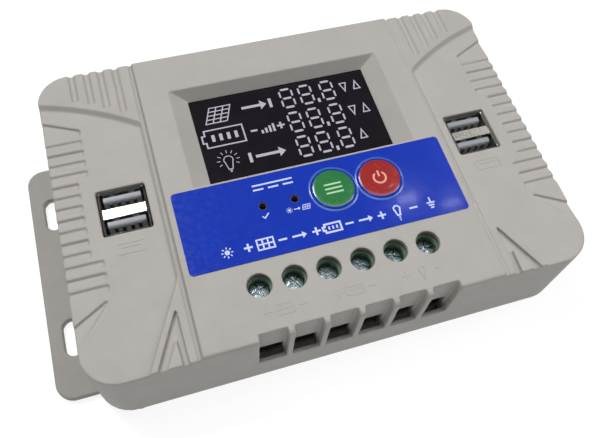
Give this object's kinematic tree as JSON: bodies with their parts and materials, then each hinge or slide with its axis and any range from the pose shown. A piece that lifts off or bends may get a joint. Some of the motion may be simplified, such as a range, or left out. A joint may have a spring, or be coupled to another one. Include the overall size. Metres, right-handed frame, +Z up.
{
  "type": "solar charge controller",
  "caption": "Flat box-shaped solar charge controller with a sunk display, two round keys, stacked USB outlets, screw terminals with wire notches, and slotted side flanges.",
  "frame": {"origin": "centre of the mounting face, at the bottom of the box", "axes": "+X to the right along the length, +Y from the wire entries to the back, +Z up out of the mounting face"},
  "size_m": [0.1746, 0.1032, 0.0318],
  "materials": {
    "cover_plastic": "fine satin grain",
    "base_plastic": "fine satin grain",
    "label_film": "glossy printed polyester",
    "display_glass": "dark polarised glass",
    "white_plastic": "moulded",
    "light_guide": "clear acrylic",
    "tinned_pin": "tinned",
    "circuit_board": "solder mask",
    "black_plastic": "moulded",
    "zinc_screw": "zinc plated",
    "amber_lens": "tinted lens",
    "green_lens": "tinted lens",
    "green_key": "printed film over a pillow",
    "red_key": "printed film over a pillow",
    "green_plastic": "moulded",
    "nickel_plate": "nickel plated",
    "grey_plastic": "moulded",
    "gold_contact": "gold flash",
    "plated_steel": "zinc plated",
    "bare_aluminium": "extruded",
    "capacitor_sleeve": "shrink sleeve",
    "ferrite": "painted toroid",
    "copper_wire": "enamelled copper"
  },
  "bodies": {
    "case": {"top_cover": "cover_plastic", "base_plate": "base_plastic", "cover_screws": "zinc_screw", "front_label": "label_film", "lcd_glass": "display_glass", "lcd_frame": "white_plastic", "lcd_backlight": "light_guide", "lcd_pins": "tinned_pin", "display_board": "circuit_board", "display_board_screws": "zinc_screw", "board_header": "black_plastic", "header_socket": "black_plastic", "power_board": "circuit_board", "power_board_screws": "zinc_screw", "work_led": "amber_lens", "pv_led": "green_lens", "menu_switch_body": "black_plastic", "power_switch_body": "black_plastic", "usb_shell_left": "nickel_plate", "usb_shell_right": "nickel_plate", "usb_insulator_left": "black_plastic", "usb_insulator_right": "black_plastic", "usb_tongues_left": "grey_plastic", "usb_tongues_right": "grey_plastic", "usb_contacts_left": "gold_contact", "usb_contacts_right": "gold_contact", "terminal_block": "green_plastic", "terminal_tabs": "tinned_pin", "mosfets": "black_plastic", "heatsink": "bare_aluminium", "heatsink_screws": "zinc_screw", "capacitors": "capacitor_sleeve", "inductor_core": "ferrite", "inductor_winding": "copper_wire", "controller_chip": "black_plastic", "driver_chips": "black_plastic", "diodes": "black_plastic", "shunt": "copper_wire"},
    "menu_button": {"menu_key": "green_key", "menu_plunger": "black_plastic"},
    "power_button": {"power_key": "red_key", "power_plunger": "black_plastic"},
    "screw_1": {"terminal_screw_1": "zinc_screw"},
    "clamp_1": {"wire_clamp_1": "plated_steel"},
    "screw_2": {"terminal_screw_2": "zinc_screw"},
    "clamp_2": {"wire_clamp_2": "plated_steel"},
    "screw_3": {"terminal_screw_3": "zinc_screw"},
    "clamp_3": {"wire_clamp_3": "plated_steel"},
    "screw_4": {"terminal_screw_4": "zinc_screw"},
    "clamp_4": {"wire_clamp_4": "plated_steel"},
    "screw_5": {"terminal_screw_5": "zinc_screw"},
    "clamp_5": {"wire_clamp_5": "plated_steel"},
    "screw_6": {"terminal_screw_6": "zinc_screw"},
    "clamp_6": {"wire_clamp_6": "plated_steel"}
  },
  "joints": [
    {"name": "menu_press", "type": "slide", "parent": "case", "child": "menu_button", "axis": [0, 0, -1], "range_m": [0, 0.0005], "stiffness_N_per_m": 2000},
    {"name": "power_press", "type": "slide", "parent": "case", "child": "power_button", "axis": [0, 0, -1], "range_m": [0, 0.0005], "stiffness_N_per_m": 2000},
    {"name": "screw_turn_1", "type": "hinge", "parent": "case", "child": "screw_1", "pos_m": [-0.0249, -0.035, 0.025], "axis": [0, 0, -1], "range_deg": [0, 1800]},
    {"name": "clamp_rise_1", "type": "slide", "parent": "case", "child": "clamp_1", "axis": [0, 0, 1], "range_m": [0, 0.0035]},
    {"name": "screw_turn_2", "type": "hinge", "parent": "case", "child": "screw_2", "pos_m": [-0.01474, -0.035, 0.025], "axis": [0, 0, -1], "range_deg": [0, 1800]},
    {"name": "clamp_rise_2", "type": "slide", "parent": "case", "child": "clamp_2", "axis": [0, 0, 1], "range_m": [0, 0.0035]},
    {"name": "screw_turn_3", "type": "hinge", "parent": "case", "child": "screw_3", "pos_m": [-0.00458, -0.035, 0.025], "axis": [0, 0, -1], "range_deg": [0, 1800]},
    {"name": "clamp_rise_3", "type": "slide", "parent": "case", "child": "clamp_3", "axis": [0, 0, 1], "range_m": [0, 0.0035]},
    {"name": "screw_turn_4", "type": "hinge", "parent": "case", "child": "screw_4", "pos_m": [0.00558, -0.035, 0.025], "axis": [0, 0, -1], "range_deg": [0, 1800]},
    {"name": "clamp_rise_4", "type": "slide", "parent": "case", "child": "clamp_4", "axis": [0, 0, 1], "range_m": [0, 0.0035]},
    {"name": "screw_turn_5", "type": "hinge", "parent": "case", "child": "screw_5", "pos_m": [0.01574, -0.035, 0.025], "axis": [0, 0, -1], "range_deg": [0, 1800]},
    {"name": "clamp_rise_5", "type": "slide", "parent": "case", "child": "clamp_5", "axis": [0, 0, 1], "range_m": [0, 0.0035]},
    {"name": "screw_turn_6", "type": "hinge", "parent": "case", "child": "screw_6", "pos_m": [0.0259, -0.035, 0.025], "axis": [0, 0, -1], "range_deg": [0, 1800]},
    {"name": "clamp_rise_6", "type": "slide", "parent": "case", "child": "clamp_6", "axis": [0, 0, 1], "range_m": [0, 0.0035]}
  ],
  "couplings": [
    {"joint": "screw_turn_1", "follows": "clamp_rise_1", "rad_per_m": 8976},
    {"joint": "screw_turn_2", "follows": "clamp_rise_2", "rad_per_m": 8976},
    {"joint": "screw_turn_3", "follows": "clamp_rise_3", "rad_per_m": 8976},
    {"joint": "screw_turn_4", "follows": "clamp_rise_4", "rad_per_m": 8976},
    {"joint": "screw_turn_5", "follows": "clamp_rise_5", "rad_per_m": 8976},
    {"joint": "screw_turn_6", "follows": "clamp_rise_6", "rad_per_m": 8976}
  ]
}
